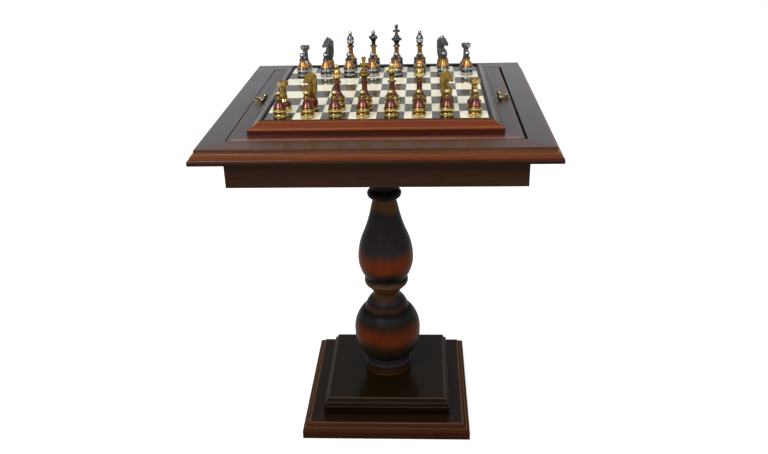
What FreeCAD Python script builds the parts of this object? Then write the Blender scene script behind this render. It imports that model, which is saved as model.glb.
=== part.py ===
import FreeCAD
import Part
import math
import os

# Games table: moulded square plinth, turned column, storage box with a lift-off lid that carries
# an inlaid chess board with moulded rails, and the chessmen that stand on the board.
# Millimetres, +Z up, origin at the centre of the base where it meets the floor.
# The players sit at -Y and +Y.

Vector = FreeCAD.Vector
UP = Vector(0, 0, 1)
CENTRE = Vector(0, 0, 0)

# ---- plinth ----
felt_thick = 2.0
felt_inset = 9.0
lower_plinth_width = 362.0
lower_plinth_height = 32.0
lower_plinth_moulding = [(0, 17.5), (5, 23, 1.2), (7, 23), (13, 29.5, -1.4), (13, 30.5),
                         (15, 32, 0.5)]
upper_plinth_width = 275.0
upper_plinth_height = 38.0
upper_plinth_moulding = [(0, 19), (2, 28, 0.8), (3, 28), (7.2, 35.5, -1.1), (7.2, 36.6),
                         (8.6, 38, 0.4)]

# ---- column: radii, and heights above the plinth ----
column_length = 535.5
fillet = 2.0  # the small square step between two turned forms
foot_radius = 53.0
foot_ring_height = 9.0
foot_cove_radius = 45.5
foot_cove_top = 20.0
foot_top = 31.0
ball_foot_radius = 41.0
ball_foot_height = 34.5
ball_radius = 73.4
ball_height = 99.0  # where the ball is widest
ball_top_radius = 57.0
ball_top = 153.0
groove_radius = 50.5
groove_bottom = 156.5
groove_top = 160.5
shoulder_radius = 48.2
shoulder_top = 189.5
waist_radius = 29.6
joint_height = 194.0  # the joint between the two turnings
flare_bottom = 200.0
flare_radius = 36.0
flare_top = 209.5
bead_radius = 48.3
bead_bottom = 219.5
bead_top = 235.5
bead_swell = 3.0
vase_foot_radius = 45.0
vase_radius = 60.3
vase_height = 284.0  # where the vase is widest
vase_shoulder_radius = 46.3
vase_shoulder_height = 345.0
vase_neck_radius = 31.5
vase_neck_height = 392.5
neck_radius = 25.3
neck_height = 420.0
collar_radius = 36.5
collar_height = 19.0
head_radius = 46.0
head_height = 32.0
head_cove = 6.0
tenon_radius = 15.0
tenon_length = 14.0
tenon_clearance = 0.1

# ---- tie rod and mounting board ----
rod_radius = 5.0
rod_bore_clearance = 0.5
rod_end_margin = 1.5
nut_across_flats = 17.0
nut_height = 8.0
nut_clearance = 0.05
washer_radius = 12.0
washer_thick = 2.0
pocket_radius = 15.0
lower_pocket_depth = 14.0
upper_pocket_depth = 13.0
mount_board_width = 220.0
mount_board_thick = 18.0
mount_board_bevel = 6.0
screw_radius = 2.2
screw_head_radius = 4.4
screw_head_height = 2.6
screw_length = 25.0
screw_clearance = 0.05
screw_spacing = 85.0

# ---- box ----
top_overhang = 49.5  # of the top beyond the aprons
apron_height = 59.0
apron_thick = 18.0
floor_thick = 12.0
floor_recess = 2.0  # the floor's underside above the aprons' lower edge
groove_depth = 6.0
floor_clearance = 0.3
corner_block_leg = 32.0
top_rail_width = 55.0
top_thick = 25.5
top_moulding = [(0, 4.5), (3.5, 11, 1.2), (5, 11), (5, 14.5), (11, 21, -1.8), (11, 24),
                (12.5, 25.5, 0.4)]

# ---- lid and board ----
lid_margin = 31.5  # the lid beyond the board's rails, where the pulls are
lid_gap = 5.0  # the lid's whole play in its opening
lid_thick = 18.0
lid_edge_radius = 1.5
lid_shift_x = -1.5  # the loose lid stands pushed to one side
lid_shift_y = -1.0
square_size = 50.0
squares_per_side = 8
square_thick = 3.0
board_margin = 3.0  # dark line round the squares
board_thick = 18.0
rail_width = 23.5
rail_lip = 3.0  # the rails stand this much above the squares
rail_lip_width = 5.0
rail_lip_radius = 1.4
rail_face_height = 7.5
rail_bead_height = 11.2

# ---- pulls ----
plate_length = 14.0
plate_width = 18.0
plate_thick = 1.5
plate_edge_gap = 1.0
ear_thick = 2.2
ear_radius = 3.2
ear_side_gap = 0.2
barrel_radius = 3.0
barrel_length = 8.0
trunnion_radius = 1.5
trunnion_clearance = 0.05
pull_reach = 13.0
pull_bar_radius = 1.9
pull_bar_length = 32.0
pull_ball_radius = 5.0
pull_rest_gap = 0.1

# ---- chessmen ----
pawn_radius = 12.0
pawn_height = 50.0
officer_radius = 13.2
officer_ring_height = 8.4
officer_shoulder_height = 26.4  # the drum under the stem of bishop, queen and king
officer_stem_height = 54.2
knight_foot_height = 25.0
knight_thick = 10.0
rook_height = 54.6
knight_height = 74.0
bishop_height = 84.0
queen_height = 85.5
king_height = 97.0
cross_height = 17.0
cross_width = 15.0
cross_thick = 5.0
# How far the men stand off their squares' centres, as a hand puts them down.
gold_officer_shift = (2.5, -7.0)
gold_pawn_shift = (1.5, -5.0)
silver_officer_shift = (2.5, 0.0)
silver_pawn_shift = (2.5, -1.5)

# ---- levels and half widths that follow from them ----
lower_plinth_top = felt_thick + lower_plinth_height
upper_plinth_top = lower_plinth_top + upper_plinth_height
column_top = upper_plinth_top + column_length
mount_board_top = column_top + mount_board_thick
floor_top = mount_board_top + floor_thick
apron_bottom = mount_board_top - floor_recess
apron_top = apron_bottom + apron_height
table_top = apron_top + top_thick
lid_bottom = table_top - lid_thick
board_top = table_top + board_thick
rail_height = board_thick + rail_lip
field_half = square_size * squares_per_side / 2
board_half = field_half + board_margin
rail_inner = board_half
rail_outer = board_half + rail_width
lid_half = rail_outer + lid_margin
opening_half = lid_half + lid_gap / 2
top_half = opening_half + top_rail_width
apron_half = top_half - top_overhang
apron_inner = apron_half - apron_thick
rod_bore_radius = rod_radius + rod_bore_clearance
hinge_above_lid = pull_ball_radius + pull_rest_gap
hinge_x = lid_half - plate_edge_gap - plate_length / 2
quarter_rise = 1 - math.sqrt(0.5)  # rise of a quarter circle of radius 1 over its chord
cut_margin = 1.0


# An outline is a list of (across, up) points. A third value makes the stretch that ends at that
# point an arc, which rises so far to the right of its chord: outwards on a stretch that goes up.
def outline_face(points):
    edges = []
    for start, end in zip(points, points[1:] + points[:1]):
        a = Vector(start[0], 0, start[1])
        b = Vector(end[0], 0, end[1])
        if len(end) == 3:
            chord = b - a
            right = Vector(chord.z, 0, -chord.x).normalize()
            edges.append(Part.Arc(a, (a + b) * 0.5 + right * end[2], b).toShape())
        else:
            edges.append(Part.makeLine(a, b))
    return Part.Face(Part.Wire(edges))


# A solid of revolution about the vertical axis.
def turned(points):
    return outline_face(points).revolve(CENTRE, UP, 360)


# The same outline, moved up.
def raised(points, height):
    return [(point[0], point[1] + height) + tuple(point[2:]) for point in points]


# Outline points whose heights are given as shares of the way between two levels.
def spread(points, low, high):
    return [(point[0], low + point[1] * (high - low)) + tuple(point[2:]) for point in points]


# A square bar frame's front side, with mitred ends; its outline is measured out from the centre.
def mitred_side(points):
    reach = max(point[0] for point in points) + cut_margin
    low = min(point[1] for point in points) - cut_margin
    high = max(point[1] for point in points) + cut_margin
    face = outline_face(points)
    face.rotate(CENTRE, UP, -90)
    face.translate(Vector(-reach, 0, 0))
    bar = face.extrude(Vector(2 * reach, 0, 0))
    corners = [Vector(0, 0, low), Vector(-reach, -reach, low), Vector(reach, -reach, low)]
    wedge = Part.Face(Part.makePolygon(corners + corners[:1])).extrude(UP * (high - low))
    return bar.common(wedge)


# The ball that ends a turning: its neck, and the arc over it to the top.
def ball_end(neck, radius, top):
    reach = radius + math.sqrt(radius ** 2 - neck ** 2)
    half_chord = math.hypot(neck, reach) / 2
    return [(neck, top - reach), (0, top, radius - math.sqrt(radius ** 2 - half_chord ** 2))]


# Four copies turned about the vertical axis: front, right, back, left.
def four_sides(shape):
    return [shape.rotated(CENTRE, UP, angle) for angle in (0, 90, 180, 270)]


# A square board with a moulding along its four upper edges, given as (inset, rise) points from
# the end of the plain edge to the top face.
def moulded_slab(width, bottom, thick, moulding):
    half = width / 2
    slab = Part.makeBox(width, width, thick, Vector(-half, -half, bottom))
    waste = [(half - point[0], bottom + point[1]) + tuple(point[2:]) for point in moulding]
    top = bottom + thick + cut_margin
    waste += [(half - moulding[-1][0], top), (half + cut_margin, top)]
    waste += [(half + cut_margin, bottom + moulding[0][1])]
    face = outline_face(waste)
    face.translate(Vector(0, -half - cut_margin, 0))
    strip = face.extrude(Vector(0, width + 2 * cut_margin, 0))
    return slab.cut(four_sides(strip))


def box_between(low, high):
    return Part.makeBox(high[0] - low[0], high[1] - low[1], high[2] - low[2], Vector(*low))


def bore(radius, low, high):
    return Part.makeCylinder(radius, high - low, Vector(0, 0, low))


def hexagonal_nut(bottom):
    corner = nut_across_flats / math.sqrt(3)
    points = [Vector(corner * math.cos(a), corner * math.sin(a), bottom)
              for a in (math.radians(60 * k) for k in range(6))]
    body = Part.Face(Part.makePolygon(points + points[:1])).extrude(UP * nut_height)
    return body.cut(bore(rod_radius + nut_clearance, bottom, bottom + nut_height))


def washer(bottom):
    disc = bore(washer_radius, bottom, bottom + washer_thick)
    return disc.cut(bore(rod_bore_radius, bottom, bottom + washer_thick))


# ---- plinth ----
def base_felt():
    half = lower_plinth_width / 2 - felt_inset
    return box_between((-half, -half, 0), (half, half, felt_thick))


def lower_plinth():
    slab = moulded_slab(lower_plinth_width, felt_thick, lower_plinth_height, lower_plinth_moulding)
    slab = slab.cut(bore(rod_bore_radius, felt_thick, lower_plinth_top))
    return slab.cut(bore(pocket_radius, felt_thick, felt_thick + lower_pocket_depth))


def upper_plinth():
    slab = moulded_slab(upper_plinth_width, lower_plinth_top, upper_plinth_height,
                        upper_plinth_moulding)
    return slab.cut(bore(rod_bore_radius, lower_plinth_top, upper_plinth_top))


# A half-round bead that stands out to the radius, between two heights.
def turned_bead(radius, low, high):
    swell = (high - low) * 0.47
    return [(radius - swell, low), (radius - swell, high, swell)]


# ---- column: heights above the plinth ----
def column_lower():
    cove_bottom = foot_ring_height + fillet
    foot = [(rod_bore_radius, 0)] + turned_bead(foot_radius, 0, foot_ring_height)
    foot += [(foot_cove_radius, foot_ring_height), (foot_cove_radius, cove_bottom)]
    foot += [(foot_cove_radius, foot_cove_top, -fillet * 1.5)]
    foot += turned_bead(foot_radius, foot_cove_top, foot_top)
    foot += [(ball_foot_radius + fillet, foot_top), (ball_foot_radius, ball_foot_height)]
    ball = [(ball_radius, ball_height, ball_radius * 0.13), (ball_top_radius, ball_top, ball_radius * 0.076)]
    ball += [(groove_radius + fillet * 1.5, groove_bottom), (groove_radius, groove_bottom)]
    shoulder = [(groove_radius, groove_top), (shoulder_radius, groove_top + fillet * 0.75)]
    shoulder += [(waist_radius + fillet * 0.7, shoulder_top, fillet * 1.2)]
    shoulder += [(waist_radius, joint_height)]
    tenon_top = joint_height + tenon_length
    tenon = [(tenon_radius, joint_height), (tenon_radius, tenon_top), (rod_bore_radius, tenon_top)]
    return turned(raised(foot + ball + shoulder + tenon, upper_plinth_top))


def column_upper():
    socket_radius = tenon_radius + tenon_clearance
    socket_top = joint_height + tenon_length + tenon_clearance
    socket = [(rod_bore_radius, socket_top), (socket_radius, socket_top)]
    socket += [(socket_radius, joint_height), (waist_radius, joint_height)]
    flare = [(waist_radius, flare_bottom), (flare_radius, flare_top, -fillet * 0.2)]
    flare += [(flare_radius + fillet * 0.75, flare_top + fillet)]
    flare += [(bead_radius - bead_swell - fillet * 0.65, bead_bottom, -fillet * 0.3)]
    bead = [(bead_radius - bead_swell, bead_bottom), (bead_radius - bead_swell, bead_top, bead_swell)]
    vase = [(vase_foot_radius, bead_top + fillet), (vase_radius, vase_height, vase_radius * 0.063)]
    vase += [(vase_shoulder_radius, vase_shoulder_height, vase_radius * 0.055)]
    vase += [(vase_neck_radius, vase_neck_height, -fillet * 0.5), (neck_radius, neck_height)]
    collar_bottom = neck_height + fillet * 2
    collar_top = collar_bottom + collar_height
    collar = [(neck_radius, collar_bottom)] + turned_bead(collar_radius, collar_bottom, collar_top)
    collar += [(neck_radius, collar_top), (neck_radius, collar_top + fillet * 2)]
    head_bottom = column_length - head_height
    head = [(head_radius - fillet * 2, head_bottom - fillet, -head_cove)]
    head += [(head_radius - fillet * 2, head_bottom), (head_radius, head_bottom)]
    head += [(head_radius, column_length), (rod_bore_radius, column_length)]
    return turned(raised(socket + flare + bead + vase + collar + head, upper_plinth_top))


# ---- what clamps and carries the box ----
def tie_rod():
    return bore(rod_radius, felt_thick + rod_end_margin, mount_board_top - rod_end_margin)


def tie_rod_nuts():
    lower_seat = felt_thick + lower_pocket_depth - washer_thick
    upper_seat = mount_board_top - upper_pocket_depth
    washers = [washer(lower_seat), washer(upper_seat)]
    nuts = [hexagonal_nut(lower_seat - nut_height), hexagonal_nut(upper_seat + washer_thick)]
    return washers + nuts


def mounting_board():
    half = mount_board_width / 2
    low = half - mount_board_bevel
    outline = [(-low, column_top), (low, column_top), (half, column_top + mount_board_bevel)]
    outline += [(half, mount_board_top), (-half, mount_board_top)]
    outline += [(-half, column_top + mount_board_bevel)]
    face = outline_face(outline)
    face.translate(Vector(0, -half, 0))
    bar = face.extrude(Vector(0, mount_board_width, 0))
    board = bar.common(bar.rotated(CENTRE, UP, 90))
    board = board.cut(bore(rod_bore_radius, column_top, mount_board_top))
    board = board.cut(bore(pocket_radius, mount_board_top - upper_pocket_depth, mount_board_top))
    return board.cut(mounting_screws(screw_clearance))


# Eight countersunk screws up through the mounting board into the floor; with a clearance, the
# holes that they need.
def mounting_screws(clearance=0.0):
    shank = screw_radius + clearance
    head = screw_head_radius + clearance
    tip = screw_length + clearance
    outline = [(0, 0), (head, 0), (shank, screw_head_height), (shank, tip - screw_radius), (0, tip)]
    screw = turned(raised(outline, column_top))
    steps = (-screw_spacing, 0, screw_spacing)
    places = [(x, y) for x in steps for y in steps if (x, y) != (0, 0)]
    return [screw.translated(Vector(x, y, 0)) for x, y in places]


# ---- box ----
def apron():
    groove_end = apron_inner + groove_depth
    outline = [(apron_inner, apron_bottom), (apron_half, apron_bottom), (apron_half, apron_top)]
    outline += [(apron_inner, apron_top), (apron_inner, floor_top), (groove_end, floor_top)]
    outline += [(groove_end, mount_board_top)]
    outline += [(apron_inner, mount_board_top)]
    return mitred_side(outline)


def box_floor():
    half = apron_inner + groove_depth - floor_clearance
    panel = box_between((-half, -half, mount_board_top), (half, half, floor_top))
    return panel.cut(mounting_screws(screw_clearance))


def corner_blocks():
    inner = apron_inner
    corners = [Vector(inner, -inner, floor_top), Vector(inner - corner_block_leg, -inner, floor_top)]
    corners += [Vector(inner, corner_block_leg - inner, floor_top)]
    block = Part.Face(Part.makePolygon(corners + corners[:1])).extrude(UP * (apron_top - floor_top))
    return four_sides(block)


# The moulded rail has a rebate inside, whose ledge lines up with the apron and carries the lid.
def top_rail():
    outline = [(apron_inner, apron_top), (top_half, apron_top)]
    outline += [(top_half - p[0], apron_top + p[1]) + tuple(p[2:]) for p in top_moulding]
    outline += [(opening_half, table_top), (opening_half, lid_bottom), (apron_inner, lid_bottom)]
    return mitred_side(outline)


# ---- lid and board ----
def lid_panel():
    rounded = [(0, lid_thick - lid_edge_radius)]
    rounded += [(lid_edge_radius, lid_thick, lid_edge_radius * quarter_rise)]
    return moulded_slab(2 * lid_half, lid_bottom, lid_thick, rounded)


def board_panel():
    panel = box_between((-board_half, -board_half, table_top), (board_half, board_half, board_top))
    seat = board_top - square_thick
    return panel.cut(box_between((-field_half, -field_half, seat), (field_half, field_half, board_top)))


# A square's centre, from its file (left to right) and rank (near to far), counted from 0.
def square_centre(file, rank):
    middle = (squares_per_side - 1) / 2
    return Vector((file - middle) * square_size, (rank - middle) * square_size, board_top)


def squares(dark):
    half = square_size / 2
    tile = box_between((-half, -half, -square_thick), (half, half, 0))
    tiles = []
    for rank in range(squares_per_side):
        for file in range(squares_per_side):
            if ((file + rank) % 2 == 0) == dark:
                tiles.append(tile.translated(square_centre(file, rank)))
    return tiles


def board_rail():
    lip_edge = rail_inner + rail_lip_width
    outline = [(rail_inner, 0), (rail_outer, 0), (rail_outer, rail_face_height, -0.6)]
    outline += [(rail_outer - 2.2, rail_bead_height, 0.8), (rail_outer - 4, rail_bead_height)]
    outline += [(lip_edge, rail_height - 2.2, -1), (lip_edge, rail_height - rail_lip_radius)]
    outline += [(lip_edge - rail_lip_radius, rail_height, rail_lip_radius * quarter_rise)]
    outline += [(rail_inner, rail_height)]
    return mitred_side(raised(outline, table_top))


# ---- pulls: built round the hinge axis, which runs along Y; the pull reaches to -X ----
def pull_plate():
    half_length = plate_length / 2
    half_width = plate_width / 2
    plate_top = plate_thick - hinge_above_lid
    low = (-half_length, -half_width, -hinge_above_lid)
    plate = box_between(low, (half_length, half_width, plate_top))
    inner = barrel_length / 2 + ear_side_gap
    ear = box_between((-ear_radius, inner, plate_top), (ear_radius, inner + ear_thick, 0))
    along = Vector(0, 1, 0)
    ear = ear.fuse(Part.makeCylinder(ear_radius, ear_thick, Vector(0, inner, 0), along))
    hole = trunnion_radius + trunnion_clearance
    ear = ear.cut(Part.makeCylinder(hole, ear_thick, Vector(0, inner, 0), along))
    other = ear.rotated(CENTRE, UP, 180)
    return plate.fuse([ear, other]).removeSplitter()


def pull_handle():
    trunnion_end = barrel_length / 2 + ear_thick
    half_barrel = barrel_length / 2
    barrel = [(0, -trunnion_end), (trunnion_radius, -trunnion_end), (trunnion_radius, -half_barrel)]
    barrel += [(barrel_radius, -half_barrel), (barrel_radius, half_barrel)]
    barrel += [(trunnion_radius, half_barrel), (trunnion_radius, trunnion_end), (0, trunnion_end)]
    end = pull_bar_length / 2 + pull_ball_radius
    first_ball, last_ball = ball_end(pull_bar_radius, pull_ball_radius, end)
    bar = [(0, -end), (pull_bar_radius, -first_ball[1], last_ball[2]), first_ball, last_ball]
    across = Vector(1, 0, 0)
    barrel = turned(barrel).rotated(CENTRE, across, 90)
    bar = turned(bar).rotated(CENTRE, across, 90).translated(across * -pull_reach)
    stem = Part.makeCylinder(pull_bar_radius, pull_reach, CENTRE, -across)
    return barrel.fuse([stem, bar])


# The hinge's place at the right or the left edge of the lid.
def at_lid_edge(shape, side):
    placed = shape.translated(Vector(hinge_x, 0, table_top + hinge_above_lid))
    return placed if side == "right" else placed.rotated(CENTRE, UP, 180)


# ---- chessmen: each stands on its own foot at the origin ----
# Foot ring that all officers share.
def officer_foot():
    r, ring = officer_radius, officer_ring_height
    return [(0, 0), (r, 0), (r, ring - 1), (r - 1.2, ring), (r, ring + 2)]


# Drum, stem and collar under the head of bishop, queen and king.
def officer_stem():
    r = officer_radius
    drum = [(r, 0.5), (r - 0.9, 0.56), (r - 0.9, 0.61), (r, 0.7), (r - 0.4, 0.92), (r - 1.6, 1)]
    stem = [(8.6, 0.15), (5.4, 0.35), (5, 0.83), (7.9, 0.89), (7.9, 0.95), (5, 1)]
    drum = spread(drum, officer_ring_height, officer_shoulder_height)
    return officer_foot() + drum + spread(stem, officer_shoulder_height, officer_stem_height)


def pawn():
    r = pawn_radius
    outline = [(0, 0), (r, 0), (r, 0.16), (r - 1, 0.18), (r - 0.2, 0.2), (r - 0.2, 0.34)]
    outline += [(r - 1.2, 0.38), (r - 0.6, 0.41), (5.3, 0.67), (6.8, 0.71), (6.4, 0.74)]
    return turned(spread(outline, 0, pawn_height) + ball_end(3.2, 5.4, pawn_height))


def rook():
    crown_radius, crown_wall, slot_depth, slot_half = 10.4, 3.2, 2.6, 0.8
    body = [(officer_radius - 1, 0.14), (9, 0.22), (7.6, 0.27), (6.2, 0.47), (5.7, 0.8)]
    body += [(crown_radius - 0.6, 0.84), (crown_radius, 0.86)]
    outline = officer_foot() + spread(body, officer_ring_height, rook_height)
    floor = rook_height - slot_depth
    outline += [(crown_radius, rook_height), (crown_radius - crown_wall, rook_height)]
    outline += [(crown_radius - crown_wall, floor), (0, floor)]
    reach = crown_radius + cut_margin
    slot = box_between((-reach, -slot_half, floor), (reach, slot_half, rook_height + cut_margin))
    return turned(outline).cut([slot.rotated(CENTRE, UP, angle) for angle in (30, 90, 150)])


# The horse's head in side view, facing along facing (1 or -1) in X.
def knight(facing):
    back = [(-8.2, 0), (-11.8, 0.16), (-12.8, 0.43), (-13.2, 0.76), (-8.8, 0.87), (-3.5, 0.94)]
    face = [(-0.4, 1), (1.4, 0.94), (6, 0.83), (11.8, 0.6), (11.8, 0.55), (9.4, 0.51), (6.4, 0.53)]
    breast = [(3.6, 0.52), (3, 0.43), (7.6, 0.27), (8.4, 0.16), (7.6, 0)]
    side = outline_face(spread(back + face + breast, knight_foot_height, knight_height))
    side.translate(Vector(0, -knight_thick / 2, 0))
    head = side.extrude(Vector(0, knight_thick, 0))
    if facing < 0:
        head = head.rotated(CENTRE, UP, 180)
    r = officer_radius
    body = [(r - 0.4, 0.4), (r - 2.6, 0.92), (r - 3.6, 1), (0, 1)]
    foot = turned(officer_foot() + spread(body, officer_ring_height, knight_foot_height))
    return foot.fuse(head)


def bishop():
    head = spread([(5, 0.05), (8.5, 0.3), (6.8, 0.56)], officer_stem_height, bishop_height)
    return turned(officer_stem() + head + ball_end(2.8, 4.2, bishop_height))


def queen():
    crown = [(4.4, 0.23), (10.2, 0.52), (10.2, 0.56), (4, 0.71)]
    crown = spread(crown, officer_stem_height, queen_height)
    return turned(officer_stem() + crown + ball_end(3.2, 4.5, queen_height))


def king():
    crown_top = king_height - cross_height
    crown = [(4.8, 0.11), (6, 0.24), (11.2, 0.42), (11.2, 0.5), (6.8, 0.61), (6.4, 0.71)]
    crown += [(3.8, 0.83), (3.6, 1), (0, 1)]
    body = turned(officer_stem() + spread(crown, officer_stem_height, crown_top))
    width, thick = cross_width / 2, cross_thick / 2
    post = box_between((-thick, -thick, crown_top), (thick, thick, king_height))
    head_half = thick * 1.4
    head = box_between((-head_half, -thick, king_height - cross_height * 0.45), (head_half, thick, king_height))
    arm_low = crown_top + cross_height * 0.06
    arms = box_between((-width, -thick, arm_low), (width, thick, arm_low + cross_thick))
    return body.fuse([post, head, arms]).removeSplitter()


# Each side's officers from left to right, as they stand; the knights look outwards.
near_officers = ["rook", "knight", "bishop", "king", "queen", "bishop", "knight", "rook"]
far_officers = ["rook", "knight", "bishop", "queen", "king", "bishop", "knight", "rook"]


def officer(kind, file):
    if kind == "knight":
        return knight(-1 if file < squares_per_side / 2 else 1)
    return {"rook": rook, "bishop": bishop, "queen": queen, "king": king}[kind]()


# One side's sixteen men, by node name.
def army(side, officers, officer_rank, officer_shift, pawn_rank, pawn_shift):
    men = {}
    for file, kind in enumerate(officers):
        number = officers[:file].count(kind) + 1
        name = kind if kind in ("king", "queen") else f"{kind}_{number}"
        place = square_centre(file, officer_rank) + Vector(*officer_shift, 0)
        men[f"{side}_{name}"] = officer(kind, file).translated(place)
    for file in range(squares_per_side):
        place = square_centre(file, pawn_rank) + Vector(*pawn_shift, 0)
        men[f"{side}_pawn_{file + 1}"] = pawn().translated(place)
    return men


# ---- the whole table, by node ----
def fixed_nodes():
    front, right, back, left = four_sides(apron())
    rail_front, rail_right, rail_back, rail_left = four_sides(top_rail())
    return {
        "base_felt": base_felt(), "lower_plinth": lower_plinth(), "upper_plinth": upper_plinth(),
        "column_lower": column_lower(), "column_upper": column_upper(),
        "tie_rod": tie_rod(), "tie_rod_nuts": tie_rod_nuts(),
        "mounting_board": mounting_board(), "mounting_screws": mounting_screws(),
        "apron_front": front, "apron_right": right, "apron_back": back, "apron_left": left,
        "box_floor": box_floor(), "corner_blocks": corner_blocks(),
        "top_rail_front": rail_front, "top_rail_right": rail_right,
        "top_rail_back": rail_back, "top_rail_left": rail_left,
    }


def lid_nodes():
    sides = ("left", "right")
    nodes = {
        "lid_panel": lid_panel(), "board_panel": board_panel(),
        "light_squares": squares(dark=False), "dark_squares": squares(dark=True),
        "board_rails": four_sides(board_rail()),
        "pull_plates": [at_lid_edge(pull_plate(), side) for side in sides],
    }
    for side in sides:
        nodes[side + "_pull"] = at_lid_edge(pull_handle(), side)
    nodes.update(army("gold", near_officers, 1, gold_officer_shift, 0, gold_pawn_shift))
    nodes.update(army("silver", far_officers, 7, silver_officer_shift, 6, silver_pawn_shift))
    return nodes


def save(node, shape):
    if isinstance(shape, list):
        shape = Part.makeCompound(shape)
    shape.exportStep(f"parts/{node}.step")


os.makedirs("parts", exist_ok=True)
for node, shape in fixed_nodes().items():
    save(node, shape)
lid_shift = Vector(lid_shift_x, lid_shift_y, 0)
for node, shape in lid_nodes().items():
    solids = shape if isinstance(shape, list) else [shape]
    save(node, [solid.translated(lid_shift) for solid in solids])
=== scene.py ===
import bmesh
import bpy
import math
from mathutils import Matrix, Vector


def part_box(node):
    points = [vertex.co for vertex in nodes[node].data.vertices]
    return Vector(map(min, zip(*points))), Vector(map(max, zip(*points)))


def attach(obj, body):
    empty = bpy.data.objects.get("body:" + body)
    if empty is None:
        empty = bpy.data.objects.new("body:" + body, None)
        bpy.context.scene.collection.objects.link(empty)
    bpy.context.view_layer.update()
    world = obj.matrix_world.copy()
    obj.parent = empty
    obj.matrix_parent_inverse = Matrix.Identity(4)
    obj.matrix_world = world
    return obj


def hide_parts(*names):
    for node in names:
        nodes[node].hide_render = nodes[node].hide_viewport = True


# Games table with an inlaid board and its chessmen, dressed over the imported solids. Everything is
# in the solids' own frame. Sizes in the dictionaries are in millimetres, the stage's in metres.
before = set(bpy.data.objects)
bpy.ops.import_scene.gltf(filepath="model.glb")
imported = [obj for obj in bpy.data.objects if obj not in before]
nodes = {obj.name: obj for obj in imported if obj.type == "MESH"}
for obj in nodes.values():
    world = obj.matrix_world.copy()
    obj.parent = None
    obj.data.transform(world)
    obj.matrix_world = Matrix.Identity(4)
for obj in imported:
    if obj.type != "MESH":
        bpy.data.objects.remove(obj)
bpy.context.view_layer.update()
mm = 0.001
noiseSpan = {1: 0.3, 2: 0.7}     # between these most of a noise lies, as inputs of a Map Range


def linear(hexColour):  # sRGB hex to linear RGBA
    parts = [int(hexColour[i:i + 2], 16) / 255 for i in (1, 3, 5)]
    return [p / 12.92 if p <= 0.04045 else ((p + 0.055) / 1.055) ** 2.4 for p in parts] + [1]


def addNode(tree, kind, inputs=None, stops=None, **settings):
    node = tree.nodes.new(kind)
    for key, value in settings.items():
        setattr(node, key, value)
    for key, value in (inputs or {}).items():
        if isinstance(value, bpy.types.NodeSocket):
            tree.links.new(value, node.inputs[key])
        else:
            node.inputs[key].default_value = value
    if stops:
        marks = node.color_ramp.elements
        marks.remove(marks[1])
        marks[0].position, marks[0].color = stops[0]
        for place, colour in stops[1:]:
            marks.new(place).color = colour
    return node


def startMaterial(name):
    made = bpy.data.materials.new(name)
    made.use_nodes = True
    made.node_tree.nodes.clear()
    end = made.node_tree.nodes.new("ShaderNodeOutputMaterial")
    return made, made.node_tree, end


# Beech stained to walnut, its colour sprayed on and then sealed under polished lacquer. The toner
# follows the profile, so mouldings and turnings glow red-brown between nearly black stretches. Its
# lighter lines on the arrises are painted highlights where light catches a rounded arris, partly
# also toner rubbed thin. A piece's own dictionary goes over this one.
wood = {
    "streakAcross": 6.0, "streakAlong": 150.0,     # broad figure, as it still shows across a room
    "figure": 0.2,                                 # how much paler and darker it is
    "poreAcross": 0.9, "poreAlong": 14.0,          # finer in real beech; this coarse, they show
    "poreSpan": (0.35, 0.5), "poreShade": 0.85,    # a pore darkens the toner to this share
    "poreDepth": 0.12, "poreRelief": 0.1,
    "streakDetail": 3.0, "poreDetail": 2.0, "grainRoughness": 0.6, "grainWander": 0.3,
    "mitreLine": 0.35, "mitreShade": 0.35,         # the fine dark line along a mitre
    "mitreShift": 3.7,                             # metres from one side's grain to the next one's
    "cloudSize": 55.0, "cloudDetail": 2.0,         # uneven sheen where the lacquer was rubbed
    "shinier": 0.03, "duller": 0.04,               # what it takes from the roughness and adds
    "waver": 0.0,                                  # how far the toner's edges wander
    "thinned": None,                               # a second toner on a piece's front quarter: painted light and shade
    "roughness": 0.14, "specular": 0.25, "coat": 0.0, "coatRoughness": 0.18,
}


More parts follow.
